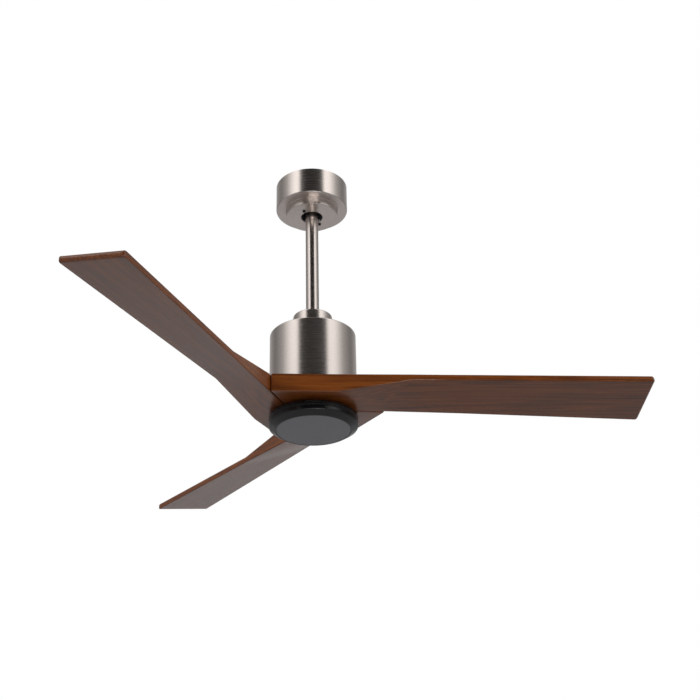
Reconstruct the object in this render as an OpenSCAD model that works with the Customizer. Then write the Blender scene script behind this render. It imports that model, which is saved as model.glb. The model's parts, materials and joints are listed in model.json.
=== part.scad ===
// Three-blade ceiling fan with a light kit, hung from a ball joint in its canopy.
// Origin: centre of the ceiling bracket's top face. +Z is up, so the fan hangs at negative Z.

/* [Canopy] */
// Diameter of the canopy at the ceiling
canopy_d = 150; // [140:1:160]
// Height of the canopy's main wall
canopy_h = 58; // [56:1:62]
// Diameter of the step under the canopy
step_d = 109; // [106:1:114]
// Height of that step
step_h = 15; // [15:1:18]
// Diameter of the hole that the downrod hangs through
rod_hole_d = 45; // [44:1:48]
// Thickness of the spun metal shells
shell_t = 1.3; // [1:0.1:1.6]

/* [Hanger] */
// Diameter of the hanger ball
ball_d = 64; // [62:1:64]
// Depth of the ball's centre under the ceiling
ball_drop = 44; // [43:1:45]
// Largest tilt of the rod about each axis, in degrees
swing_deg = 10; // [4:1:10]
// Distance between the two ceiling screws
slot_spacing = 90; // [80:1:96]

/* [Downrod] */
// Outside diameter of the downrod
rod_d = 26.7; // [26:0.1:27]
// Wall thickness of the downrod
rod_wall = 2; // [1.5:0.1:2.5]
// Length of rod seen between the canopy and the collar
rod_seen = 242; // [150:1:900]

/* [Motor housing] */
// Diameter of the collar over the yoke
collar_d = 79; // [76:1:84]
// Height of the collar
collar_h = 45; // [44:1:60]
// Diameter of the motor housing
housing_d = 172; // [170:1:176]
// Height of the motor housing
housing_h = 132; // [132:1:150]

/* [Blades] */
// Sweep diameter across the blade tips
sweep_d = 1320; // [1100:10:1500]
// Height of the thick root block of a blade
root_h = 37; // [34:1:40]
// Thickness of the blade beyond its root
blade_t = 12.5; // [10:0.5:14]
// Distance from the fan's axis to the straight leading edge
lead_offset = 110; // [106:1:114]
// How far the root block reaches back past the axis
root_reach = 87; // [84:1:90]
// Width of the blade at its tip
tip_w = 127; // [115:1:135]
// Rise of the tip above a level blade
tip_rise = 4; // [0:1:6]
// Angle of the first blade about the axis, in degrees
first_blade = 2.7; // [0:0.1:119]

/* [Light kit] */
// Diameter of the light kit
light_d = 174; // [172:1:178]
// Height of the light kit
light_h = 26; // [26:1:32]
// Clear gap between the blades and the light kit
light_gap = 6.5; // [6:0.5:8]
// Diameter of the visible diffuser
lens_d = 144; // [140:1:146]

/* [Hidden] */
$fn = 64;
BLADES = 3;
FIT = 0.05;                                   // radial clearance of a running fit
EPS = 0.01;

// Heights, from the ceiling down
canopy_z = -canopy_h;
step_z = canopy_z - step_h;
ball_z = -ball_drop;
collar_top = step_z - rod_seen;
housing_top = collar_top - collar_h;
housing_bot = housing_top - housing_h;
root_top = housing_bot - 3;
root_bot = root_top - root_h;
light_top = root_bot - light_gap;
light_bot = light_top - light_h;

// Hanger
ball_r = ball_d / 2;
rod_r = rod_d / 2;
rod_top = ball_z + 14;
rod_bot = housing_top + 15;
plate_t = 2.5;
leg_y = 39;
leg_w = 40;
ring_r = 44;
ring_top = ball_z - 12;
ring_bot = ball_z - 23;
pin_r = 4;
slot_r = 2.75;                                // half width of a ceiling slot
slot_half = 5;                                // how far its round ends lie from its middle
ground_at = [-20, 32, 0];
face_screw_r = 29.5;                          // radius of the circle of canopy screws
face_screw_a = 57;

// Yoke, shaft and motor
yoke_pin_z = rod_bot + 13;
cotter_y = 24.6;                              // where the cotter crosses the yoke pin
yoke_r = 20;
set_screw_z = yoke_pin_z + 9;
yoke_bolt_r = 26;
shaft_r = 10;
shaft_bore = 6;
flange_r = 34;
flange_bot = housing_top - shell_t - 6;
board_z = housing_top - 12;
board_post_r = 60;
bell_r = 78;
bell_top = housing_top - 32;
bell_bot = bell_top - 68;
bell_screw_r = 75.6;
magnet_r = 73.2;                              // inner wall of the bell, where the magnets sit
core_r = 66;
core_top = bell_top - 20;
core_h = 34;
TEETH = 12;
tooth_w = 7;
base_bot = bell_bot - 6;
bearing_r = 21;
bearing_w = 12;
bearing_pitch = 15.5;
bearing_ball = 3.4;
bearing_z = [bell_top - 4, bell_bot - 8];     // middle of each bearing
carrier_r = 80;
carrier_t = 8;
column_r = 53;

// Blade plan, in the blade's own frame: its leading edge runs along +X
function turn(a, p) = [cos(a) * p.x - sin(a) * p.y, sin(a) * p.x + cos(a) * p.y];
root_lead = [-root_reach, -lead_offset];
root_trail = turn(120, root_lead);            // the next blade's root corner
tip_lead = [sqrt(pow(sweep_d / 2, 2) - pow(lead_offset, 2)), -lead_offset];
tip_trail = [tip_lead.x - 2.5, tip_w - lead_offset];
trail_a = atan2(tip_trail.y - root_trail.y, tip_trail.x - root_trail.x);
trail_r = root_trail.x * sin(trail_a) - root_trail.y * cos(trail_a);
heel = trail_r * [sin(trail_a) - sqrt(3) * cos(trail_a), -cos(trail_a) - sqrt(3) * sin(trail_a)];
facet_lead = [[38, -lead_offset], [184, -lead_offset]];
facet_trail_x = 286;
blade_bolts = [[-25, -62], [28, -62], [62, -40], [-5, -42]];

// Light kit
light_r = light_d / 2;
lens_r = lens_d / 2;
mount_r = 60;
seam_z = light_top - 8.5;
led_z = light_top - 13.5;
cone_w = 13;                                  // width and height of the trim ring's slope
cone_h = 8;
trim_edge = 3;                                // round where that slope meets the wall
seam = 0.6;                                   // open joint between the pan and the trim ring
groove = 1.7;                                 // side of the square that bevels both lips of that joint
skirt_r = 82;
skirt_low = light_top - 17;
pan_screw_r = 50;
led_boss_r = 58;
LUGS = 3;

// ---- Helpers ----

module post(r, z_low, z_high) {
    translate([0, 0, z_low]) cylinder(r = r, h = z_high - z_low);
}

module tube(r_out, r_in, z_low, z_high) {
    difference() {
        post(r_out, z_low, z_high);
        post(r_in, z_low - 1, z_high + 1);
    }
}

module hex(r, z_low, z_high) {
    translate([0, 0, z_low]) cylinder(r = r, h = z_high - z_low, $fn = 6);
}

module ring_of(count, r, start = 0) {
    for (i = [0:count - 1]) rotate(start + i * 360 / count) translate([r, 0, 0]) children();
}

// A box centred in plan whose upright edges are rounded
module soft_box(size, r) {
    x = size.x - 2 * r;
    y = size.y - 2 * r;
    linear_extrude(size.z) {
        square([size.x, y], center = true);
        square([x, size.y], center = true);
        for (sx = [-1, 1], sy = [-1, 1]) translate([sx * x / 2, sy * y / 2]) circle(r);
    }
}

// Half profile of a turned body whose lower or upper outer corner is rounded
module corner_profile(r, z_low, z_high, round, lower) {
    z_mid = lower ? z_low + round : z_high - round;
    translate([0, lower ? z_mid : z_low]) square([r, z_high - z_low - round]);
    translate([0, z_low]) square([r - round, z_high - z_low]);
    intersection() {
        translate([r - round, z_mid]) circle(round);
        translate([0, z_low]) square([r, z_high - z_low]);
    }
}

// ---- Ceiling end ----

module ceiling_bracket() {
    color("silver") difference() {
        union() {
            intersection() {
                post(66, -plate_t, 0);
                cube([140, 2 * leg_y + 2 * plate_t, 20], center = true);
            }
            for (side = [-1, 1]) {
                leg_mid = side * (leg_y + plate_t / 2);
                translate([-leg_w / 2, leg_mid - plate_t / 2, ring_bot]) cube([leg_w, plate_t, -ring_bot]);
            }
            post(ring_r, ring_bot, ring_top);
            ring_of(2, face_screw_r, face_screw_a) post(5, step_z + shell_t, ring_bot);
        }
        translate([0, 0, ball_z]) sphere(ball_r + FIT);
        translate([0, -15, ring_bot - 1]) cube([ring_r + 2, 30, ring_top - ring_bot + 2]);
        post(14, -plate_t - 1, 1);
        for (side = [-1, 1]) translate([side * slot_spacing / 2, 0, -plate_t - 1]) slot_cut();
        ring_of(2, face_screw_r, face_screw_a) post(2 + FIT, step_z - 1, ball_z - 18);
        translate(ground_at) post(2 + FIT, -plate_t - 1, 1);
    }
    color("silver") seat_tab();
}

module slot_cut() {
    translate([-slot_half, -slot_r, 0]) cube([2 * slot_half, 2 * slot_r, plate_t + 2]);
    for (side = [-1, 1]) translate([side * slot_half, 0, 0]) cylinder(r = slot_r, h = plate_t + 2);
}

// Keeps the ball from turning about the rod; it runs in the ball's slot
module seat_tab() {
    difference() {
        translate([-2, -ring_r + 4, ring_bot]) cube([4, ring_r, 8]);
        translate([0, 0, ball_z]) sphere(ball_r - 3);
        translate([-5, -10, ring_bot - 1]) cube([10, 20, 12]);
    }
}

module ground_screw() {
    color("seagreen") translate(ground_at) {
        post(2, -plate_t, -0.2);
        hex(4.6, -plate_t - 3, -plate_t);
    }
}

module remote_receiver() {
    color("dimgray") {
        translate([0, 0, -22]) soft_box([84, 36, 22 - plate_t], 4);
        translate([0, 0, -14]) soft_box([94, 16, 3], 3);
    }
}

module canopy() {
    step_r = step_d / 2;
    color("silver") difference() {
        rotate_extrude() difference() {
            union() {
                corner_profile(canopy_d / 2, canopy_z, 0, 2.5, true);
                corner_profile(step_r, step_z, canopy_z + 1, 1.5, true);
            }
            translate([0, canopy_z + shell_t]) square([canopy_d / 2 - shell_t, canopy_h]);
            translate([0, step_z + shell_t]) square([step_r - shell_t, step_h + shell_t]);
            translate([0, step_z - 1]) square([rod_hole_d / 2, step_h]);
        }
        ring_of(2, face_screw_r, face_screw_a) post(2.3, step_z - 1, step_z + shell_t + 1);
    }
}

module canopy_screws() {
    color("dimgray") ring_of(2, face_screw_r, face_screw_a) {
        post(2, step_z, ball_z - 18.5);
        difference() {
            post(3.4, step_z - 1.8, step_z);
            translate([-2.4, -0.4, step_z - 2]) cube([4.8, 0.8, 1]);
            translate([-0.4, -2.4, step_z - 2]) cube([0.8, 4.8, 1]);
        }
    }
}

module hanger_ball() {
    color([0.15, 0.15, 0.16]) difference() {
        intersection() {
            translate([0, 0, ball_z]) sphere(ball_r);
            post(ball_r + 1, ball_z - 20, ball_z + 16);
        }
        rod_bore();
        translate([0, 0, ball_z]) rotate([90, 0, 0]) cylinder(r = pin_r + FIT, h = 70, center = true);
        difference() {
            translate([-2.5, -ball_r - 1, ball_z - 26]) cube([5, ball_r - 6, 26 - pin_r - 4]);
            translate([0, 0, ball_z]) sphere(ball_r - 4);
        }
    }
}

// Room for the rod to tilt about the cross pin: an hourglass in X, straight in Y
module rod_bore() {
    waist = rod_r / cos(swing_deg) + 0.25;
    mouth = waist + 24 * tan(swing_deg);
    translate([0, rod_r + 0.25, ball_z]) rotate([90, 0, 0]) linear_extrude(2 * rod_r + 0.5)
        polygon([[-mouth, -24], [mouth, -24], [waist, 0], [mouth, 24], [-mouth, 24], [-waist, 0]]);
}

// ---- Rod and yoke ----

module downrod() {
    color("silver") difference() {
        tube(rod_r, rod_r - rod_wall, rod_bot, rod_top);
        for (z = [ball_z, yoke_pin_z]) translate([0, 0, z])
            rotate([90, 0, 0]) cylinder(r = pin_r + FIT, h = 40, center = true);
    }
}

module ball_cross_pin() {
    color("gray") translate([0, 0, ball_z]) rotate([90, 0, 0]) cylinder(r = pin_r, h = 58, center = true);
}

// Three insulated leads that run down the rod, beside the pins, and into the hollow shaft
module lead_wires() {
    wire_r = 1.2;
    spread = 7.5;
    close = 3.4;
    bend_top = rod_bot + 2;
    bend_low = housing_top + 3;
    lean = atan2(spread - close, bend_top - bend_low);
    color("firebrick") for (a = [-30, 30, 180]) rotate(a) {
        translate([spread, 0, 0]) post(wire_r, bend_top - 1, rod_top - 1);
        translate([close, 0, bend_low]) rotate([0, lean, 0])
            cylinder(r = wire_r - EPS, h = (bend_top - bend_low) / cos(lean));
        translate([close, 0, 0]) post(wire_r, flange_bot - 20, bend_low + 1);
    }
}

module collar() {
    color("silver") rotate_extrude() difference() {
        corner_profile(collar_d / 2, housing_top, collar_top, 3, false);
        translate([0, housing_top - 1]) square([collar_d / 2 - shell_t, collar_h + 1 - shell_t]);
        translate([0, housing_top]) square([rod_r + 0.25, collar_h + 1]);
    }
}

module motor_yoke() {
    color("dimgray") difference() {
        union() {
            post(yoke_r, housing_top, rod_bot + 26);
            post(flange_r, housing_top, housing_top + 8);
        }
        post(rod_r + 0.1, rod_bot, rod_bot + 30);
        post(shaft_r + FIT, housing_top - 1, rod_bot + 1);
        translate([0, 0, yoke_pin_z]) rotate([90, 0, 0]) cylinder(r = pin_r + FIT, h = 60, center = true);
        translate([0, 0, set_screw_z]) rotate([0, 90, 0]) cylinder(r = 2.5 + FIT, h = 60, center = true);
        ring_of(3, yoke_bolt_r, 30) post(2.5 + FIT, housing_top - 1, housing_top + 10);
    }
}

module yoke_pin() {
    color("gray") translate([0, 0, yoke_pin_z]) difference() {
        union() {
            rotate([90, 0, 0]) translate([0, 0, -27]) cylinder(r = pin_r, h = 48);
            rotate([90, 0, 0]) translate([0, 0, 21]) cylinder(r = 6.5, h = 3);
        }
        translate([0, cotter_y, -5]) cylinder(r = 1.1, h = 10);
    }
}

module yoke_cotter() {
    color("silver") translate([0, cotter_y, yoke_pin_z]) {
        post(1, -9, 7);
        translate([0, 0, 10]) rotate([0, 90, 0]) rotate_extrude() translate([3, 0]) circle(1);
    }
}

module yoke_set_screws() {
    color([0.2, 0.2, 0.22]) for (side = [-1, 1]) translate([0, 0, set_screw_z]) rotate([0, side * 90, 0])
        difference() {
            post(2.5, rod_r, yoke_r + 3);
            hex(1.5, yoke_r, yoke_r + 4);
        }
}

module yoke_bolts() {
    color("silver") ring_of(3, yoke_bolt_r, 30) {
        post(2.5, flange_bot, housing_top + 8);
        hex(4.6, housing_top + 8, housing_top + 11.5);
    }
}

// ---- Motor ----

module motor_housing() {
    housing_r = housing_d / 2;
    color("silver") difference() {
        rotate_extrude() difference() {
            corner_profile(housing_r, housing_bot, housing_top, 2.5, false);
            translate([0, housing_bot + shell_t])
                square([housing_r - shell_t, housing_h - 2 * shell_t]);
            translate([0, housing_bot - 1]) square([housing_r - 3.5, 4]);
            translate([0, housing_top - 4]) square([shaft_r + 2, 6]);
        }
        ring_of(3, yoke_bolt_r, 30) post(2.7, housing_top - 4, housing_top + 1);
    }
}

module motor_shaft() {
    color("gray") difference() {
        union() {
            post(shaft_r, light_top - 8, rod_bot - 7);
            post(flange_r, flange_bot, housing_top - shell_t);
        }
        post(shaft_bore, light_top - 9, rod_bot + 1);
        ring_of(3, yoke_bolt_r, 30) post(2.5 + FIT, flange_bot - 1, housing_top);
    }
}

module driver_board() {
    color("darkgreen") difference() {
        tube(76, 38, board_z, board_z + 1.6);
        ring_of(3, board_post_r, 90) post(1.6, board_z - 1, board_z + 3);
    }
}

module driver_parts() {
    color([0.12, 0.12, 0.14]) {
        ring_of(4, 52, 20) post(5, board_z - 12, board_z);
        ring_of(6, 67, 0) translate([0, 0, board_z - 4]) soft_box([6, 9, 4], 0.8);
        translate([-52, 0, board_z - 3]) soft_box([14, 14, 3], 0.6);
    }
}

module board_standoffs() {
    color("goldenrod") ring_of(3, board_post_r, 90) {
        hex(3.4, board_z + 1.6, housing_top - shell_t);
        post(1.5, board_z, board_z + 1.6);
        post(2.8, board_z - 1.8, board_z);
    }
}

module stator_core() {
    half = 180 / TEETH;
    slot_in = 24;
    slot_out = 62;
    color("dimgray") translate([0, 0, core_top - core_h]) linear_extrude(core_h) difference() {
        circle(core_r);
        circle(shaft_r);
        for (i = [0:TEETH - 1]) rotate((i + 0.5) * 360 / TEETH) {
            w_in = slot_in * tan(half) - tooth_w / 2;
            w_out = slot_out * tan(half) - tooth_w / 2;
            polygon([[slot_in, -w_in], [slot_out, -w_out], [slot_out, w_out], [slot_in, w_in]]);
            translate([slot_out - 1, -1.5]) square([6, 3]);
        }
    }
}

module stator_windings() {
    side = 2.9;
    over = 4.5;
    color("chocolate") for (i = [0:TEETH - 1]) rotate(i * 360 / TEETH) difference() {
        translate([28, -tooth_w / 2 - side, core_top - core_h - over])
            cube([31, tooth_w + 2 * side, core_h + 2 * over]);
        translate([27, -tooth_w / 2 - EPS, core_top - core_h - EPS])
            cube([33, tooth_w + 2 * EPS, core_h + 2 * EPS]);
    }
}

module bearing_ring(r_in, r_out) {
    for (z = bearing_z) translate([0, 0, z]) rotate_extrude() difference() {
        translate([r_in, -bearing_w / 2]) square([r_out - r_in, bearing_w]);
        translate([bearing_pitch, 0]) circle(bearing_ball + 0.1);
    }
}

module bearing_inner_rings() {
    color("silver") bearing_ring(shaft_r, 13.5);
}

module bearing_outer_rings() {
    color("silver") bearing_ring(17.5, bearing_r);
}

module bearing_balls() {
    color("lightgray") for (z = bearing_z) translate([0, 0, z]) {
        ring_of(8, bearing_pitch) sphere(bearing_ball);
        tube(bearing_pitch + 0.9, bearing_pitch - 0.9, -1.2, 1.2);
    }
}

module rotor_bell() {
    color("gainsboro") difference() {
        union() {
            post(bell_r, bell_bot, bell_top);
            post(bearing_r + 5, bell_top - 11, bell_top + 3);
        }
        difference() {
            post(magnet_r, bell_bot - 1, bell_top - 5);
            post(bearing_r + 5, bell_top - 11, bell_top);
        }
        post(bearing_r, bell_top - 12, bell_top + 4);
        ring_of(6, 48) post(7, bell_top - 6, bell_top + 1);
        ring_of(6, bell_screw_r, 30) post(1.5 + FIT, bell_bot - 1, bell_bot + 12);
    }
}

module rotor_magnets() {
    poles = 10;
    longer = 3;                               // how far the magnets pass the core at each end
    color([0.3, 0.3, 0.33]) translate([0, 0, core_top - core_h - longer])
        linear_extrude(core_h + 2 * longer) difference() {
            circle(magnet_r);
            circle(core_r + 0.9);
            for (i = [0:poles - 1]) rotate(i * 360 / poles) translate([60, -1.5]) square([20, 3]);
        }
}

module rotor_base() {
    color("gainsboro") difference() {
        union() {
            post(bell_r, base_bot, bell_bot);
            post(bearing_r + 5, bell_bot - 15, bell_bot + 3);
        }
        post(bearing_r, bell_bot - 16, bell_bot + 4);
        ring_of(6, bell_screw_r, 30) post(1.5 + FIT, base_bot - 1, bell_bot + 1);
        ring_of(6, column_r, 40) post(2.5 + FIT, base_bot - 1, bell_bot + 1);
    }
}

module rotor_screws() {
    color("gray") ring_of(6, bell_screw_r, 30) {
        post(1.5, base_bot, bell_bot + 10);
        post(2.2, base_bot - 2, base_bot);
    }
}

// ---- Blades ----

module blade_carrier() {
    color("gainsboro") difference() {
        union() {
            post(carrier_r, root_top, root_top + carrier_t);
            tube(column_r + 3, column_r - 3, root_top + 1, base_bot);
            ring_of(6, column_r, 40) post(7, root_top + 1, base_bot);
        }
        post(28, root_top - 1, root_top + carrier_t + 1);
        ring_of(6, column_r, 40) {
            post(2.5 + FIT, root_top - 1, base_bot + 1);
            post(4.8, root_top - 1, root_top + 4);
        }
        for (i = [0:BLADES - 1]) rotate(first_blade + i * 120) for (p = blade_bolts)
            translate([p.x, p.y, 0]) post(2.5 + FIT, root_top - 1, root_top + carrier_t + 1);
    }
}

module carrier_bolts() {
    color("gray") ring_of(6, column_r, 40) {
        post(2.5, root_top + 4, bell_bot - 1);
        post(4.5, root_top + 0.5, root_top + 4);
    }
}

// The point on the trailing edge at a given x
function trail_at(x) = [x, root_trail.y + (x - root_trail.x) * tan(trail_a)];

// One station of the blade: lead and trail points, and the underside's height at each
function station(lead, trail, low, h) = [
    [lead.x, lead.y, low[0]], [trail.x, trail.y, low[1]],
    [trail.x, trail.y, low[1] + h[1]], [lead.x, lead.y, low[0] + h[0]]];

// Height gained by the blade at a given x
function rise(x) = tip_rise * (x - root_lead.x) / (tip_lead.x - root_lead.x);

function thin_station(s) =
    let (lead_x = facet_lead[1].x + s * (tip_lead.x - facet_lead[1].x),
         trail_x = facet_trail_x + s * (tip_trail.x - facet_trail_x))
    station([lead_x, -lead_offset], trail_at(trail_x),
        [root_h - blade_t + rise(lead_x), rise(trail_x)], [blade_t, blade_t]);

module blade(index) {
    spans = 4;
    full = [root_h, root_h];
    stations = concat(
        [station(root_lead, heel, [0, 0], full), station(facet_lead[0], root_trail, [0, 0], full)],
        [for (k = [0:spans]) thin_station(k / spans)]);
    last = len(stations) - 1;
    sides = [for (k = [0:last - 1], c = [0:3]) each
        let (a = 4 * k + c, b = 4 * k + (c + 1) % 4)
        c % 2 == 1 ? [[a, b + 4, a + 4], [a, b, b + 4]]
        : c == 0 ? [[a, b, a + 4], [b, b + 4, a + 4]] : [[a, b, b + 4], [a, b + 4, a + 4]]];
    color("saddlebrown") rotate(first_blade + index * 120) difference() {
        translate([0, 0, root_bot]) polyhedron(
            points = [for (s = stations) each s],
            faces = concat([[3, 2, 1, 0]], sides, [[for (c = [0:3]) 4 * last + c]]));
        for (p = blade_bolts) translate([p.x, p.y, 0]) {
            post(2.6, root_bot - 1, root_top + 1);
            post(5.5, root_bot - 1, root_bot + 7);
        }
    }
}

module blade_1() { blade(0); }
module blade_2() { blade(1); }
module blade_3() { blade(2); }

module blade_screws() {
    color("gray") for (i = [0:BLADES - 1]) rotate(first_blade + i * 120) for (p = blade_bolts)
        translate([p.x, p.y, 0]) {
            post(2.5, root_bot + 7, root_top + carrier_t - 1);
            difference() {
                post(4.8, root_bot + 3, root_bot + 7);
                hex(2, root_bot + 2, root_bot + 5);
            }
        }
}

// ---- Light kit ----

module shaft_nuts() {
    color("gray") for (z = [light_top + 2, light_top - 6]) difference() {
        hex(15, z, z + 6);
        post(shaft_r, z - 1, z + 7);
    }
}

module light_mount_plate() {
    color("silver") difference() {
        tube(mount_r, shaft_r + FIT, light_top, light_top + 2);
        ring_of(3, pan_screw_r) post(2 + FIT, light_top - 1, light_top + 3);
        ring_of(3, 32, 60) post(6, light_top - 1, light_top + 3);
    }
}

module light_pan() {
    top_t = 2;
    color([0.1, 0.1, 0.1]) {
        difference() {
            rotate_extrude() difference() {
                corner_profile(light_r, seam_z, light_top, 1.5, false);
                lip_bevel();
                translate([0, seam_z - 1]) square([light_r - 2.5, light_top - seam_z + 1 - top_t]);
                translate([0, seam_z - 1]) square([22, 20]);
            }
            ring_of(3, pan_screw_r) post(2 + FIT, light_top - 4, light_top + 1);
        }
        tube(skirt_r, skirt_r - 2, skirt_low, light_top - top_t);
        ring_of(3, led_boss_r, 60) difference() {
            post(4, led_z, light_top - top_t);
            post(1.5 + FIT, led_z - 1, led_z + 8);
        }
        ring_of(LUGS, 0) hook();
    }
}

// A hook that a lug of the trim ring rests on, with the stop beside it
module hook() {
    arc_band(skirt_r - 0.8, skirt_r + 2, skirt_low, skirt_low + 2, 0, 14);
    arc_band(skirt_r - 0.6, skirt_r + 1.8, skirt_low + 0.2, skirt_low + 6, -3, 4);
}

// Bevels the two lips where the pan meets the trim ring
module lip_bevel() {
    translate([light_r, seam_z - seam / 2]) rotate(45) square(groove, center = true);
}

// Part of a tube between two radii and two heights, from angle a over a span of degrees
module arc_band(r_in, r_out, z_low, z_high, a, span) {
    translate([0, 0, z_low]) linear_extrude(z_high - z_low) intersection() {
        difference() {
            circle(r_out);
            circle(r_in);
        }
        rotate(a) polygon([[0, 0], [120, 0], [120 * cos(span), 120 * sin(span)]]);
    }
}

module pan_screws() {
    color("gray") ring_of(3, pan_screw_r) {
        post(2, light_top - 2, light_top + 1.9);
        post(3.8, light_top - 4.2, light_top - 2);
    }
}

module led_driver() {
    color("white") rotate(-30) translate([0, 38, led_z + 0.3])
        soft_box([70, 26, light_top - 2 - led_z - 0.3], 2);
}

module led_board() {
    color("whitesmoke") difference() {
        post(66, led_z - 1.6, led_z);
        ring_of(3, led_boss_r, 60) post(1.6, led_z - 3, led_z + 1);
    }
}

module led_chips() {
    color("khaki") for (row = [[6, 18], [12, 36], [18, 52]]) ring_of(row[0], row[1], 8)
        translate([0, 0, led_z - 2.4]) soft_box([3.5, 2.8, 0.8], 0.5);
}

module led_board_screws() {
    color("gray") ring_of(3, led_boss_r, 60) {
        post(1.5, led_z - 1.6, led_z + 7);
        post(2.6, led_z - 3.2, led_z - 1.6);
    }
}

// Half profile of the trim ring's outside: a wall, a rounded edge and a slope in to the flat
module trim_profile() {
    slope = atan2(cone_h, cone_w);
    reach = trim_edge * tan((90 - slope) / 2);
    wall_z = light_bot + cone_h + reach;
    polygon([[0, light_bot], [light_r - cone_w, light_bot],
        [light_r - reach * cos(slope), light_bot + cone_h - reach * sin(slope)],
        [light_r, wall_z], [light_r, seam_z - seam], [0, seam_z - seam]]);
    translate([light_r - trim_edge, wall_z]) circle(trim_edge);
}

module trim_ring() {
    lug_low = skirt_low + 2.3;
    color([0.1, 0.1, 0.1]) {
        rotate_extrude() difference() {
            trim_profile();
            translate([0, light_bot - 1]) square([lens_r + 0.3, light_h]);
            translate([0, light_bot + 3]) square([lens_r + 5.3, light_h]);
            translate([0, light_bot + 6]) square([lens_r + 9, light_h]);
            translate([0, skirt_low - 1]) square([light_r - 2.5, light_h]);
            lip_bevel();
        }
        ring_of(LUGS, 0) arc_band(light_r - 4.5, light_r - 2, lug_low, lug_low + 3, 1.3, 12);
    }
}

module diffuser() {
    color([0.3, 0.3, 0.31]) {
        post(lens_r, light_bot, light_bot + 3);
        post(lens_r + 5, light_bot + 3, light_bot + 5.4);
    }
}

ceiling_bracket();
ground_screw();
remote_receiver();
canopy();
canopy_screws();
hanger_ball();
downrod();
ball_cross_pin();
lead_wires();
collar();
motor_yoke();
yoke_pin();
yoke_cotter();
yoke_set_screws();
yoke_bolts();
motor_housing();
motor_shaft();
driver_board();
driver_parts();
board_standoffs();
stator_core();
stator_windings();
bearing_inner_rings();
bearing_balls();
bearing_outer_rings();
rotor_bell();
rotor_magnets();
rotor_base();
rotor_screws();
blade_carrier();
carrier_bolts();
blade_1();
blade_2();
blade_3();
blade_screws();
shaft_nuts();
light_mount_plate();
light_pan();
pan_screws();
led_driver();
led_board();
led_chips();
led_board_screws();
trim_ring();
diffuser();
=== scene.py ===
import json
import math
import bpy
from mathutils import Matrix, Vector


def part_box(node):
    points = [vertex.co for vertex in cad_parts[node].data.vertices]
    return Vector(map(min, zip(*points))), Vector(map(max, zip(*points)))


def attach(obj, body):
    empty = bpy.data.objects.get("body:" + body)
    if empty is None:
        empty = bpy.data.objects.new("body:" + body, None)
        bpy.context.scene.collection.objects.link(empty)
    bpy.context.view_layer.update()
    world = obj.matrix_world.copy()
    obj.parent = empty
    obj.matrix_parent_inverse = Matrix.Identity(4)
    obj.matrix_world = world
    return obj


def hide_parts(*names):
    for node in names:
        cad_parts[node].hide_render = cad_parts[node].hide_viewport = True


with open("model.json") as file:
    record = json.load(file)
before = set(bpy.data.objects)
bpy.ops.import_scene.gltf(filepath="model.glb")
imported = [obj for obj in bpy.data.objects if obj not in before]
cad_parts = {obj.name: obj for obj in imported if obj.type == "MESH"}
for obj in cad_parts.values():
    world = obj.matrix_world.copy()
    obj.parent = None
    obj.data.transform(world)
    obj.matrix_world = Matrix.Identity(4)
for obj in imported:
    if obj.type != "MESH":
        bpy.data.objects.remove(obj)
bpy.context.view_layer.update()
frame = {"nodes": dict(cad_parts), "record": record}
print("frame loaded:", len(frame["nodes"]), "nodes")


def clearSelection():
    if bpy.context.object and bpy.context.object.mode != "OBJECT":
        bpy.ops.object.mode_set(mode="OBJECT")
    bpy.ops.object.select_all(action="DESELECT")


def makeActive(piece):
    clearSelection()
    piece.select_set(True)
    bpy.context.view_layer.objects.active = piece


def settle(piece, smoothAngle=35):
    makeActive(piece)
    bpy.ops.object.transform_apply(location=True, rotation=True, scale=True)
    bpy.ops.object.shade_smooth_by_angle(angle=math.radians(smoothAngle))
    even = piece.modifiers.new("evenNormals", "WEIGHTED_NORMAL")    # keeps flats flat beside rounds
    even.keep_sharp = True
    bpy.ops.object.modifier_apply(modifier=even.name)


def arcPoints(r, z, radius, startDeg, endDeg, count):    # points on a round of an outline
    points = []
    for i in range(count + 1):
        a = math.radians(startDeg + (endDeg - startDeg) * i / count)
        points.append((r + radius * math.cos(a), z + radius * math.sin(a)))
    return points


def turnPiece(name, outline, turns=160):    # a closed outline of (radius, height), spun round Z
    clearSelection()
    bpy.ops.mesh.primitive_plane_add(size=0.01)
    piece = bpy.context.object
    piece.name = name
    bpy.ops.object.mode_set(mode="EDIT")
    bpy.ops.mesh.select_all(action="SELECT")
    bpy.ops.mesh.merge(type="CENTER")
    r, z = outline[0]
    bpy.ops.transform.translate(value=(r, 0, z))
    for nextR, nextZ in list(outline[1:]) + [outline[0]]:
        bpy.ops.mesh.extrude_region_move(TRANSFORM_OT_translate={"value": (nextR - r, 0, nextZ - z)})
        r, z = nextR, nextZ
    bpy.ops.mesh.select_all(action="SELECT")
    bpy.ops.mesh.remove_doubles(threshold=1e-6)
    bpy.ops.mesh.select_all(action="SELECT")
    bpy.ops.mesh.spin(steps=turns, angle=2 * math.pi, center=(0, 0, 0), axis=(0, 0, 1))
    bpy.ops.mesh.select_all(action="SELECT")
    bpy.ops.mesh.remove_doubles(threshold=1e-6)
    bpy.ops.mesh.normals_make_consistent(inside=False)
    bpy.ops.object.mode_set(mode="OBJECT")
    settle(piece)
    return piece


def addNode(nodes, kind, **inputs):
    node = nodes.new(kind)
    for key, value in inputs.items():
        node.inputs[key].default_value = value
    return node


def addMath(nodes, links, operation, *values):    # each value is a number or another node's output
    node = nodes.new("ShaderNodeMath")
    node.operation = operation
    for socket, value in zip(node.inputs, values):
        if isinstance(value, (int, float)):
            socket.default_value = value
        else:
            links.new(value, socket)
    return node.outputs[0]


def ramp(nodes, links, source, stops):
    node = nodes.new("ShaderNodeValToRGB")
    elements = node.color_ramp.elements
    while len(elements) < len(stops):
        elements.new(0.5)
    for element, (place, color) in zip(elements, stops):
        element.position = place
        element.color = (*color, 1)
    links.new(source, node.inputs["Fac"])
    return node.outputs["Color"]


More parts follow.
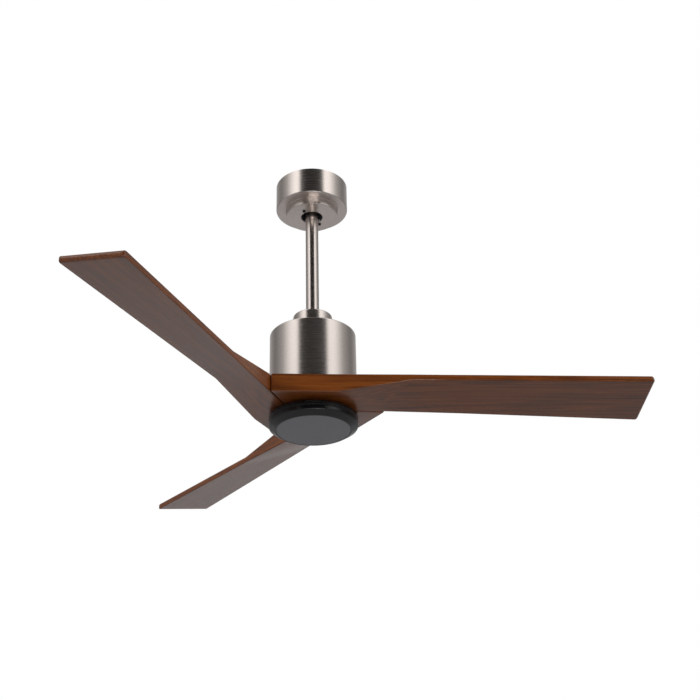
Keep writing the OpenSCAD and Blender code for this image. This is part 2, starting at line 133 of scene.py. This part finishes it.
def finishPiece(piece, body, slot, *nodes):
    piece.data.materials.clear()
    piece.data.materials.append(materials[slot])
    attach(piece, body)
    if nodes:
        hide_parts(*nodes)


cameraSetup = dict(place=(0.0, -2.1247, -1.4862), pitch=27.29, turn=2.0, roll=-1.38, lens=61.51,
    sensor=36, nearest=0.05, farthest=60)


def makeCamera():
    pitch, turn, roll = (math.radians(cameraSetup[k]) for k in ("pitch", "turn", "roll"))
    ahead = Vector((math.sin(turn) * math.cos(pitch), math.cos(turn) * math.cos(pitch), math.sin(pitch)))
    right = ahead.cross(Vector((0, 0, 1))).normalized()
    up = right.cross(ahead)
    level = Matrix((right, up, -ahead)).transposed()
    data = bpy.data.cameras.new("photoCamera")
    data.lens = cameraSetup["lens"]
    data.sensor_width = cameraSetup["sensor"]
    data.clip_start, data.clip_end = cameraSetup["nearest"], cameraSetup["farthest"]
    camera = bpy.data.objects.new("photoCamera", data)
    bpy.context.scene.collection.objects.link(camera)
    camera.rotation_mode = "QUATERNION"
    camera.rotation_quaternion = (level @ Matrix.Rotation(roll, 3, "Z")).to_quaternion()
    camera.location = cameraSetup["place"]
    bpy.context.scene.camera = camera


studio = dict(
    floorDepth=-2.6, floorSize=36.0, floorTone=(0.62, 0.62, 0.635), floorRoughness=0.9,
    floorGlow=(0.90, 0.90, 0.91), glowShare=0.8,
    ambient=[    # from the front round to the back: share of the half turn, brightness
        (0.0, 0.012), (0.20, 0.02), (0.232, 1.80), (0.33, 1.60),
        (0.48, 0.50), (0.66, 0.20), (0.85, 0.45), (1.0, 0.70)],
    backLift=0.6, rise={"From Min": 0.36, "From Max": 0.60, "To Min": 0.10, "To Max": 1.0},
    lights=[    # name, azimuth from the camera's side, distance, height, width, tall, watts, aim, spread
        ("softLeft", -62, 3.2, 0.6, 1.1, 2.4, 17, (0, 0, -0.2), 80),
        ("softRight", 52, 3.2, 0.6, 0.9, 2.4, 15, (0, 0, -0.2), 80),
        ("backWash", 180, 6.5, 0.4, 8.0, 3.0, 66, (0, 8.0, -2.6), 170),
        ("fillFront", 8, 3.4, -2.3, 2.6, 0.5, 6, (0, 0, -0.4), 90),
    ])


def makeFloor():    # an even pale tone to the eye, plain in reflections
    clearSelection()
    bpy.ops.mesh.primitive_plane_add(size=studio["floorSize"], location=(0, 0, studio["floorDepth"]))
    floor = bpy.context.object
    floor.name = "studioFloor"
    tone = bpy.data.materials.new("paleFloor")
    tone.use_nodes = True
    nodes, links = tone.node_tree.nodes, tone.node_tree.links
    shader = nodes["Principled BSDF"]
    shader.inputs["Base Color"].default_value = (*studio["floorTone"], 1)
    shader.inputs["Roughness"].default_value = studio["floorRoughness"]
    glow = addNode(nodes, "ShaderNodeEmission", Color=(*studio["floorGlow"], 1), Strength=1.0)
    seen = nodes.new("ShaderNodeLightPath")
    blend = nodes.new("ShaderNodeMixShader")
    share = addMath(nodes, links, "MULTIPLY", seen.outputs["Is Camera Ray"], studio["glowShare"])
    links.new(share, blend.inputs["Fac"])
    links.new(shader.outputs[0], blend.inputs[1])
    links.new(glow.outputs[0], blend.inputs[2])
    links.new(blend.outputs[0], nodes["Material Output"].inputs["Surface"])
    floor.data.materials.append(tone)


def makeLights():
    for name, azimuth, distance, height, width, tall, watts, aim, spreadDeg in studio["lights"]:
        a = math.radians(azimuth)
        data = bpy.data.lights.new(name, "AREA")
        data.shape = "RECTANGLE"
        data.size, data.size_y = width, tall
        data.energy = watts
        data.spread = math.radians(spreadDeg)
        light = bpy.data.objects.new(name, data)
        bpy.context.scene.collection.objects.link(light)
        light.location = (math.sin(a) * distance, -math.cos(a) * distance, height)
        light.rotation_mode = "QUATERNION"
        light.rotation_quaternion = (Vector(aim) - light.location).to_track_quat("-Z", "Y")
        light.visible_camera = False
        light.visible_glossy = not name.startswith("soft")


def makeSurroundings():    # white to the eye; reflections show a dark front between two bright bands
    world = bpy.data.worlds.new("paleStudio")
    bpy.context.scene.world = world
    world.use_nodes = True
    nodes, links = world.node_tree.nodes, world.node_tree.links
    backdrop = nodes["Background"]
    backdrop.inputs["Color"].default_value = (1, 1, 1, 1)
    backdrop.inputs["Strength"].default_value = 1.0
    around = nodes.new("ShaderNodeBackground")
    coords = nodes.new("ShaderNodeTexCoord")
    parts = nodes.new("ShaderNodeSeparateXYZ")
    links.new(coords.outputs["Generated"], parts.inputs[0])
    ahead = addMath(nodes, links, "MULTIPLY", parts.outputs["Y"], -1.0)
    azimuth = addMath(nodes, links, "ARCTAN2", parts.outputs["X"], ahead)
    share = addMath(nodes, links, "DIVIDE", addMath(nodes, links, "ABSOLUTE", azimuth), math.pi)
    tones = [(place, (tone, tone, tone)) for place, tone in studio["ambient"]]
    links.new(ramp(nodes, links, share, tones), around.inputs["Color"])
    rise = addNode(nodes, "ShaderNodeMapRange", **studio["rise"])    # dims the front near the horizon
    lifted = addMath(nodes, links, "MULTIPLY_ADD", share, studio["backLift"], parts.outputs["Z"])
    links.new(lifted, rise.inputs["Value"])
    links.new(rise.outputs["Result"], around.inputs["Strength"])
    path = nodes.new("ShaderNodeLightPath")
    mix = nodes.new("ShaderNodeMixShader")
    links.new(path.outputs["Is Camera Ray"], mix.inputs["Fac"])
    links.new(around.outputs["Background"], mix.inputs[1])
    links.new(backdrop.outputs["Background"], mix.inputs[2])
    links.new(mix.outputs["Shader"], nodes["World Output"].inputs["Surface"])
    bpy.context.scene.view_settings.view_transform = "Standard"


makeCamera()
makeFloor()
makeLights()
makeSurroundings()
print("camera and studio made")


def newMaterial(name, color, metallic, roughness):
    material = bpy.data.materials.new(name)
    material.use_nodes = True
    shader = material.node_tree.nodes["Principled BSDF"]
    shader.inputs["Base Color"].default_value = (*color, 1)
    shader.inputs["Metallic"].default_value = metallic
    shader.inputs["Roughness"].default_value = roughness
    return material, material.node_tree.nodes, material.node_tree.links, shader


def objectCoords(nodes, links, turn=0.0):
    coords = nodes.new("ShaderNodeTexCoord")
    mapping = addNode(nodes, "ShaderNodeMapping", Rotation=(0, 0, turn))
    links.new(coords.outputs["Object"], mapping.inputs["Vector"])
    return mapping.outputs["Vector"]


noiseReach = (0.3, 0.7)    # where most of a noise's values lie


def spread(nodes, links, source, low, high):    # noise value to a range
    ends = {"From Min": noiseReach[0], "From Max": noiseReach[1], "To Min": low, "To Max": high}
    node = addNode(nodes, "ShaderNodeMapRange", **ends)
    links.new(source, node.inputs["Value"])
    return node.outputs["Result"]


def addBump(nodes, links, shader, height, distance, strength):
    bump = addNode(nodes, "ShaderNodeBump", Strength=strength, Distance=distance)
    links.new(height, bump.inputs["Height"])
    links.new(bump.outputs["Normal"], shader.inputs["Normal"])


walnutLook = dict(
    dark=(0.060, 0.0150, 0.0024), middle=(0.126, 0.0320, 0.0040), light=(0.190, 0.0520, 0.0070),
    noises=[    # name, scale along and across the grain, detail, distortion
        ("figure", (1.1, 13.0, 13.0), 3.0, 1.4),
        ("grain", (7.0, 260.0, 260.0), 4.0, 0.3),
        ("pores", (34.0, 1500.0, 1500.0), 2.0, 0.0)],
    rings=34.0, ringDepth=0.06, tonePlaces=(0.25, 0.5, 0.78),
    poreTone=(0.62, 0.60, 0.58), porePlaces=(0.34, 0.46), poreShare=0.75,
    plainRoughness=0.36, roughness=(0.40, 0.50), specular=0.2, coat=0.85, coatRoughness=0.24,
    grainDepth=0.00022, grainStrength=0.6)


def makeWalnut(name, turnDeg, shift):    # grain runs along a blade laid at turnDeg
    w = walnutLook
    material, nodes, links, shader = newMaterial(name, w["middle"], 0.0, w["plainRoughness"])
    noises = {}
    for key, scale, detail, distort in w["noises"]:
        straight = objectCoords(nodes, links, turn=-math.radians(turnDeg))
        stretch = addNode(nodes, "ShaderNodeMapping", Scale=scale, Location=shift)
        links.new(straight, stretch.inputs["Vector"])
        noise = addNode(nodes, "ShaderNodeTexNoise",
            Scale=1.0, Detail=detail, Roughness=0.55, Distortion=distort)
        links.new(stretch.outputs["Vector"], noise.inputs["Vector"])
        noises[key] = noise.outputs["Fac"]
    wave = addMath(nodes, links, "SINE", addMath(nodes, links, "MULTIPLY", noises["figure"], w["rings"]))
    blend = addMath(nodes, links, "MULTIPLY_ADD", wave, w["ringDepth"], noises["grain"])
    color = ramp(nodes, links, blend, list(zip(w["tonePlaces"], (w["dark"], w["middle"], w["light"]))))
    pores = ramp(nodes, links, noises["pores"], list(zip(w["porePlaces"], (w["poreTone"], (1, 1, 1)))))
    mix = nodes.new("ShaderNodeMix")
    mix.data_type = "RGBA"
    mix.blend_type = "MULTIPLY"
    mix.inputs["Factor"].default_value = w["poreShare"]
    links.new(color, mix.inputs[6])    # the colour pair of a mix node
    links.new(pores, mix.inputs[7])
    links.new(mix.outputs[2], shader.inputs["Base Color"])
    links.new(spread(nodes, links, noises["grain"], *w["roughness"]), shader.inputs["Roughness"])
    shader.inputs["Specular IOR Level"].default_value = w["specular"]
    shader.inputs["Coat Weight"].default_value = w["coat"]
    shader.inputs["Coat Roughness"].default_value = w["coatRoughness"]
    addBump(nodes, links, shader, blend, w["grainDepth"], w["grainStrength"])
    return material


nickelLook = dict(
    plain=(0.64, 0.605, 0.58), dark=(0.62, 0.555, 0.515), light=(0.70, 0.63, 0.585),
    plainRoughness=0.3, roughness=(0.22, 0.30), linesPerMetre=1700, cloudScale=14.0, cloudShare=0.25,
    stretchShare=0.7, stretchTurn=0.25, lineDepth=0.000006, lineStrength=0.10)


def makeBrushedNickel():    # brushed round the axis: lines follow radius and height only
    k = nickelLook
    material, nodes, links, shader = newMaterial("brushedNickel", k["plain"], 1.0, k["plainRoughness"])
    coords = nodes.new("ShaderNodeTexCoord")
    parts = nodes.new("ShaderNodeSeparateXYZ")
    links.new(coords.outputs["Object"], parts.inputs[0])
    flat = nodes.new("ShaderNodeCombineXYZ")
    links.new(parts.outputs["X"], flat.inputs["X"])
    links.new(parts.outputs["Y"], flat.inputs["Y"])
    radius = nodes.new("ShaderNodeVectorMath")
    radius.operation = "LENGTH"
    links.new(flat.outputs[0], radius.inputs[0])
    lines = nodes.new("ShaderNodeCombineXYZ")
    links.new(radius.outputs["Value"], lines.inputs["X"])
    links.new(parts.outputs["Z"], lines.inputs["Y"])
    stretch = addNode(nodes, "ShaderNodeMapping", Scale=(k["linesPerMetre"], k["linesPerMetre"], 1))
    links.new(lines.outputs[0], stretch.inputs["Vector"])
    noise = addNode(nodes, "ShaderNodeTexNoise", Scale=1.0, Detail=4.0, Roughness=0.7)
    links.new(stretch.outputs["Vector"], noise.inputs["Vector"])
    cloud = addNode(nodes, "ShaderNodeTexNoise", Scale=k["cloudScale"], Detail=3.0)
    links.new(coords.outputs["Object"], cloud.inputs["Vector"])
    fine = noise.outputs["Fac"]
    both = addMath(nodes, links, "MULTIPLY_ADD", cloud.outputs["Fac"], k["cloudShare"], fine)
    links.new(spread(nodes, links, both, *k["roughness"]), shader.inputs["Roughness"])
    tones = list(zip(noiseReach, (k["dark"], k["light"])))
    links.new(ramp(nodes, links, fine, tones), shader.inputs["Base Color"])
    tangent = nodes.new("ShaderNodeTangent")
    tangent.direction_type = "RADIAL"
    tangent.axis = "Z"
    links.new(tangent.outputs["Tangent"], shader.inputs["Tangent"])
    shader.inputs["Anisotropic"].default_value = k["stretchShare"]
    shader.inputs["Anisotropic Rotation"].default_value = k["stretchTurn"]    # blurs along the axis
    addBump(nodes, links, shader, fine, k["lineDepth"], k["lineStrength"])
    return material


finishes = dict(    # colour, darker colour, metallic, roughness low and high, grain per metre, bump depth
    zinc_steel=((0.55, 0.56, 0.57), (0.42, 0.43, 0.45), 1.0, 0.30, 0.48, 90, 0.00003),
    dark_steel=((0.055, 0.055, 0.06), (0.03, 0.03, 0.034), 1.0, 0.36, 0.52, 160, 0.00004),
    bright_screw=((0.58, 0.57, 0.55), (0.45, 0.44, 0.43), 1.0, 0.22, 0.36, 300, 0.00002),
    ground_green=((0.04, 0.32, 0.13), (0.02, 0.20, 0.08), 0.6, 0.30, 0.45, 300, 0.00002),
    receiver_case=((0.05, 0.05, 0.054), (0.035, 0.035, 0.038), 0.0, 0.50, 0.65, 900, 0.00005),
    ball_plastic=((0.022, 0.022, 0.024), (0.014, 0.014, 0.015), 0.0, 0.28, 0.42, 600, 0.00003),
    wire_insulation=((0.42, 0.035, 0.025), (0.30, 0.02, 0.015), 0.0, 0.38, 0.5, 400, 0.00002),
    cast_alloy=((0.56, 0.56, 0.57), (0.42, 0.42, 0.44), 1.0, 0.42, 0.62, 420, 0.0001),
    lamination=((0.22, 0.22, 0.24), (0.12, 0.12, 0.13), 1.0, 0.40, 0.58, 260, 0.00004),
    copper_winding=((0.60, 0.24, 0.09), (0.36, 0.12, 0.04), 1.0, 0.26, 0.42, 520, 0.0002),
    magnet_grey=((0.14, 0.14, 0.15), (0.09, 0.09, 0.10), 0.7, 0.48, 0.66, 600, 0.00006),
    bearing_steel=((0.72, 0.72, 0.73), (0.6, 0.6, 0.62), 1.0, 0.12, 0.24, 200, 0.00001),
    circuit_green=((0.015, 0.13, 0.055), (0.01, 0.09, 0.04), 0.0, 0.30, 0.45, 500, 0.00004),
    component_black=((0.028, 0.028, 0.03), (0.018, 0.018, 0.02), 0.0, 0.42, 0.6, 700, 0.00004),
    brass_post=((0.70, 0.48, 0.18), (0.55, 0.36, 0.12), 1.0, 0.22, 0.36, 300, 0.00002),
    black_plastic=((0.0040, 0.0040, 0.0046), (0.0028, 0.0028, 0.0033), 0.0, 0.24, 0.32, 1300, 0.00003),
    driver_white=((0.74, 0.74, 0.72), (0.66, 0.66, 0.64), 0.0, 0.42, 0.58, 800, 0.00004),
    board_white=((0.78, 0.78, 0.75), (0.70, 0.70, 0.68), 0.0, 0.30, 0.44, 600, 0.00002),
    led_phosphor=((0.80, 0.62, 0.14), (0.72, 0.52, 0.10), 0.0, 0.25, 0.40, 900, 0.00003),
    # smoked lens face: partly its own dark smoked tint, partly a painted reflection of the pale floor that
    # lifts it to a mid grey
    smoked_acrylic=((0.130, 0.124, 0.134), (0.116, 0.111, 0.120), 0.0, 0.34, 0.44, 1100, 0.00003),
)


def makeFinish(slot):
    color, darker, metallic, low, high, grain, depth = finishes[slot]
    material, nodes, links, shader = newMaterial(slot, color, metallic, (low + high) / 2)
    place = objectCoords(nodes, links)
    noise = addNode(nodes, "ShaderNodeTexNoise", Scale=float(grain), Detail=4.0, Roughness=0.6)
    broad = addNode(nodes, "ShaderNodeTexNoise", Scale=22.0, Detail=3.0, Roughness=0.5)
    links.new(place, noise.inputs["Vector"])
    links.new(place, broad.inputs["Vector"])
    tones = [(0.35, darker), (0.65, color)]
    links.new(ramp(nodes, links, broad.outputs["Fac"], tones), shader.inputs["Base Color"])
    links.new(spread(nodes, links, broad.outputs["Fac"], low, high), shader.inputs["Roughness"])
    addBump(nodes, links, shader, noise.outputs["Fac"], depth, 0.5)
    return material


firstBladeDeg = 2.7    # azimuth of blade_1's leading edge
bladeTurnDeg = 120
bladeNames = ["blade_1", "blade_2", "blade_3"]
figureShift = (0.37, 1.9, 0.6)    # a different piece of wood for each blade
materials = {slot: makeFinish(slot) for slot in finishes}
materials["brushed_nickel"] = makeBrushedNickel()
walnuts = []
for number in range(len(bladeNames)):
    shift = [step * number for step in figureShift]
    walnuts.append(makeWalnut("walnutBlade%d" % (number + 1), firstBladeDeg + bladeTurnDeg * number, shift))
materials["walnut"] = walnuts[0]
for row in frame["record"]["subparts"]:
    node = frame["nodes"][row["node"]]
    node.data.materials.clear()
    node.data.materials.append(materials[row["material_slot"]])
print("materials made:", len(materials))


shellShape = dict(wall=0.0013, canopyRound=0.0025, stepRound=0.0015, collarRound=0.003, housingRound=0.0025,
    stepRadius=0.0545, stepHeight=0.015, stepCorner=0.0008, rodHole=0.0225, holeCorner=0.0006,
    rodWall=0.002, rodCorner=0.0006, rodGap=0.00025, housingHole=0.012, lip=0.0035, lipCorner=0.0008,
    lensInset=0.005, lensCorner=0.0008, flangeLift=0.003, roundPoints=6)


def roundedShell(outerR, topZ, lowZ, radius, wall, topHole):    # a cap open below, rounded at its top edge
    n = shellShape["roundPoints"]
    outline = [(topHole, topZ)] + arcPoints(outerR - radius, topZ - radius, radius, 90, 0, n)
    outline += [(outerR, lowZ), (outerR - wall, lowZ)]
    outline += arcPoints(outerR - radius, topZ - radius, radius - wall, 0, 90, n)
    return outline + [(topHole, topZ - wall)]


def makeCanopy():
    low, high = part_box("canopy")
    s, n = shellShape, shellShape["roundPoints"]
    r, wall, stepR, stepCorner, hole = high.x, s["wall"], s["stepRadius"], s["stepCorner"], s["rodHole"]
    stepZ = low.z + s["stepHeight"]
    outline = [(r, high.z)]
    outline += arcPoints(r - s["canopyRound"], stepZ + s["canopyRound"], s["canopyRound"], 0, -90, n)
    outline += [(stepR + stepCorner, stepZ), (stepR, stepZ - stepCorner)]
    outline += arcPoints(stepR - s["stepRound"], low.z + s["stepRound"], s["stepRound"], 0, -90, n)
    outline += [(hole + s["holeCorner"], low.z), (hole, low.z + s["holeCorner"]), (hole, low.z + wall)]
    outline += [(stepR - wall, low.z + wall), (stepR - wall, stepZ + wall)]
    outline += [(r - wall, stepZ + wall), (r - wall, high.z)]
    finishPiece(turnPiece("canopyShell", outline), "base", "brushed_nickel", "canopy")


def makeCollar():
    low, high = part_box("collar")
    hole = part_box("downrod")[1].x + shellShape["rodGap"]
    outline = roundedShell(high.x, high.z, low.z, shellShape["collarRound"], shellShape["wall"], hole)
    finishPiece(turnPiece("collarCover", outline, 128), "rod", "brushed_nickel", "collar")


def makeHousing():
    low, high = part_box("motor_housing")
    s, corner, wall = shellShape, shellShape["lipCorner"], shellShape["wall"]
    outline = roundedShell(high.x, high.z, low.z, s["housingRound"], wall, s["housingHole"])
    cut = outline.index((high.x, low.z))
    lipR = high.x - s["lip"]
    outline[cut:cut + 2] = [
        (high.x, low.z + corner), (high.x - corner, low.z), (lipR, low.z),
        (lipR, low.z + wall), (high.x - wall, low.z + wall)]
    finishPiece(turnPiece("housingShell", outline, 192), "rod", "brushed_nickel", "motor_housing")


def makeDownrod():
    low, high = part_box("downrod")
    r, wall, corner = high.x, shellShape["rodWall"], shellShape["rodCorner"]
    outline = [(r, low.z + corner), (r, high.z - corner), (r - corner, high.z)]
    outline += [(r - wall, high.z), (r - wall, low.z), (r - corner, low.z)]
    finishPiece(turnPiece("downrodTube", outline, 72), "rod", "brushed_nickel", "downrod")


def makeDiffuser():
    low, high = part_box("diffuser")
    flangeR, corner = high.x, shellShape["lensCorner"]
    lensR = flangeR - shellShape["lensInset"]
    flangeZ = low.z + shellShape["flangeLift"]
    bow = corner * 0.3    # the corner's middle point, in from both faces
    outline = [(0.0, low.z), (lensR - corner, low.z), (lensR - bow, low.z + bow), (lensR, low.z + corner)]
    outline += [(lensR, flangeZ), (flangeR, flangeZ), (flangeR, high.z), (0.0, high.z)]
    finishPiece(turnPiece("diffuserDisc", outline), "light_ring", "smoked_acrylic", "diffuser")


makeCanopy()
makeCollar()
makeHousing()
makeDownrod()
makeDiffuser()
print("turned pieces made")


bladeShape = dict(leadOffset=0.110, rootReach=0.087, rootHeight=0.037, thickness=0.0125, tipWidth=0.127,
    tipRise=0.004, sweepRadius=0.660, tipSlant=0.0025, facetLead=(0.038, 0.184), facetTrail=0.286,
    spans=12, edgeRound=0.0028, tipRound=0.012, tipZone=0.6, cornerHeight=0.008, sharpDeg=40, smoothDeg=24)


def bladeStations():    # each station: lead low, trail low, trail top, lead top, in the blade's own frame
    b = bladeShape
    lead = -b["leadOffset"]
    tipX = math.sqrt(b["sweepRadius"] ** 2 - b["leadOffset"] ** 2)
    tipTrail = (tipX - b["tipSlant"], b["tipWidth"] + lead)
    c, s = math.cos(math.radians(bladeTurnDeg)), math.sin(math.radians(bladeTurnDeg))
    reach = b["rootReach"]
    rootTrail = (-c * reach - s * lead, -s * reach + c * lead)    # next blade's root corner
    slope = math.atan2(tipTrail[1] - rootTrail[1], tipTrail[0] - rootTrail[0])
    off = rootTrail[0] * math.sin(slope) - rootTrail[1] * math.cos(slope)
    heel = (off * (math.sin(slope) - math.sqrt(3) * math.cos(slope)),
        off * (-math.cos(slope) - math.sqrt(3) * math.sin(slope)))

    def rise(x):
        return b["tipRise"] * (x + reach) / (tipX + reach)

    def trailY(x):
        return rootTrail[1] + (x - rootTrail[0]) * math.tan(slope)

    def station(p, q, low, height):
        return [Vector((p[0], p[1], low[0])), Vector((q[0], q[1], low[1])),
            Vector((q[0], q[1], low[1] + height)), Vector((p[0], p[1], low[0] + height))]

    rows = [station((-reach, lead), heel, (0, 0), b["rootHeight"]),
        station((b["facetLead"][0], lead), rootTrail, (0, 0), b["rootHeight"])]
    for k in range(b["spans"] + 1):
        t = k / b["spans"]
        xLead = b["facetLead"][1] + t * (tipX - b["facetLead"][1])
        xTrail = b["facetTrail"] + t * (tipTrail[0] - b["facetTrail"])
        low = (b["rootHeight"] - b["thickness"] + rise(xLead), rise(xTrail))
        rows.append(station((xLead, lead), (xTrail, trailY(xTrail)), low, b["thickness"]))
    return rows


def makeBlade(index):
    b = bladeShape
    rows = bladeStations()
    clearSelection()
    bpy.ops.mesh.primitive_plane_add(size=0.05)
    piece = bpy.context.object
    piece.name = "carvedBlade%d" % (index + 1)
    mesh = piece.data
    for vertex, corner in zip((mesh.vertices[i] for i in mesh.polygons[0].vertices), rows[0]):
        vertex.co = corner
    last = [mesh.vertices[i].index for i in mesh.polygons[0].vertices]
    for row, nextRow in zip(rows, rows[1:]):    # each push extends the blade to its next station
        bpy.ops.object.mode_set(mode="EDIT")
        bpy.ops.mesh.extrude_region_move(TRANSFORM_OT_translate={"value": nextRow[0] - row[0]})
        bpy.ops.object.mode_set(mode="OBJECT")
        moved = [v for v in mesh.vertices if v.select]
        for vertex in moved:
            nearest = min(range(4), key=lambda k: (row[k] + nextRow[0] - row[0] - vertex.co).length)
            vertex.co = nextRow[nearest]
    creaseFaces(piece, rows)
    bpy.ops.object.mode_set(mode="EDIT")
    bpy.ops.mesh.select_all(action="SELECT")
    bpy.ops.mesh.normals_make_consistent(inside=False)
    bpy.ops.object.mode_set(mode="OBJECT")

    def atTipCorner(p, q):
        return min(p.x, q.x) > b["tipZone"] and abs(p.z - q.z) > b["cornerHeight"]

    addEdgeRound(piece, b["tipRound"], 5, atTipCorner)
    addEdgeRound(piece, b["edgeRound"], 3, lambda p, q: True)
    turnAndPlace(piece, index)
    settle(piece, b["smoothDeg"])
    piece.data.materials.clear()
    piece.data.materials.append(walnuts[index])
    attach(piece, "rotor")
    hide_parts(bladeNames[index])


def creaseFaces(piece, rows):    # split the two carved facets along their creases
    mesh = piece.data

    def find(point):
        return min(mesh.vertices, key=lambda v: (v.co - point).length).index

    for pair in ((rows[1][1], rows[2][0]), (rows[1][2], rows[2][3])):
        ends = {find(point) for point in pair}
        bpy.ops.object.mode_set(mode="EDIT")
        bpy.ops.mesh.select_all(action="DESELECT")
        bpy.ops.object.mode_set(mode="OBJECT")
        for k in ends:
            mesh.vertices[k].select = True
        bpy.ops.object.mode_set(mode="EDIT")
        bpy.ops.mesh.select_mode(type="VERT")
        bpy.ops.mesh.vert_connect()
        bpy.ops.object.mode_set(mode="OBJECT")


def addEdgeRound(piece, width, segments, test):
    mesh = piece.data
    makeActive(piece)
    bpy.ops.object.mode_set(mode="EDIT")
    bpy.ops.mesh.select_mode(type="EDGE")
    bpy.ops.mesh.select_all(action="DESELECT")
    bpy.ops.mesh.edges_select_sharp(sharpness=math.radians(bladeShape["sharpDeg"]))
    bpy.ops.object.mode_set(mode="OBJECT")
    for edge in mesh.edges:
        p, q = (mesh.vertices[k].co for k in edge.vertices)
        if edge.select and not test(p, q):
            edge.select = False
    bpy.ops.object.mode_set(mode="EDIT")
    bpy.ops.mesh.bevel(offset=width, segments=segments, profile=0.5, clamp_overlap=True)
    bpy.ops.object.mode_set(mode="OBJECT")


def turnAndPlace(piece, index):
    makeActive(piece)
    piece.location.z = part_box(bladeNames[index])[0].z
    piece.rotation_euler.z = math.radians(firstBladeDeg + bladeTurnDeg * index)


for bladeIndex in range(len(bladeNames)):
    makeBlade(bladeIndex)
print("blades made")
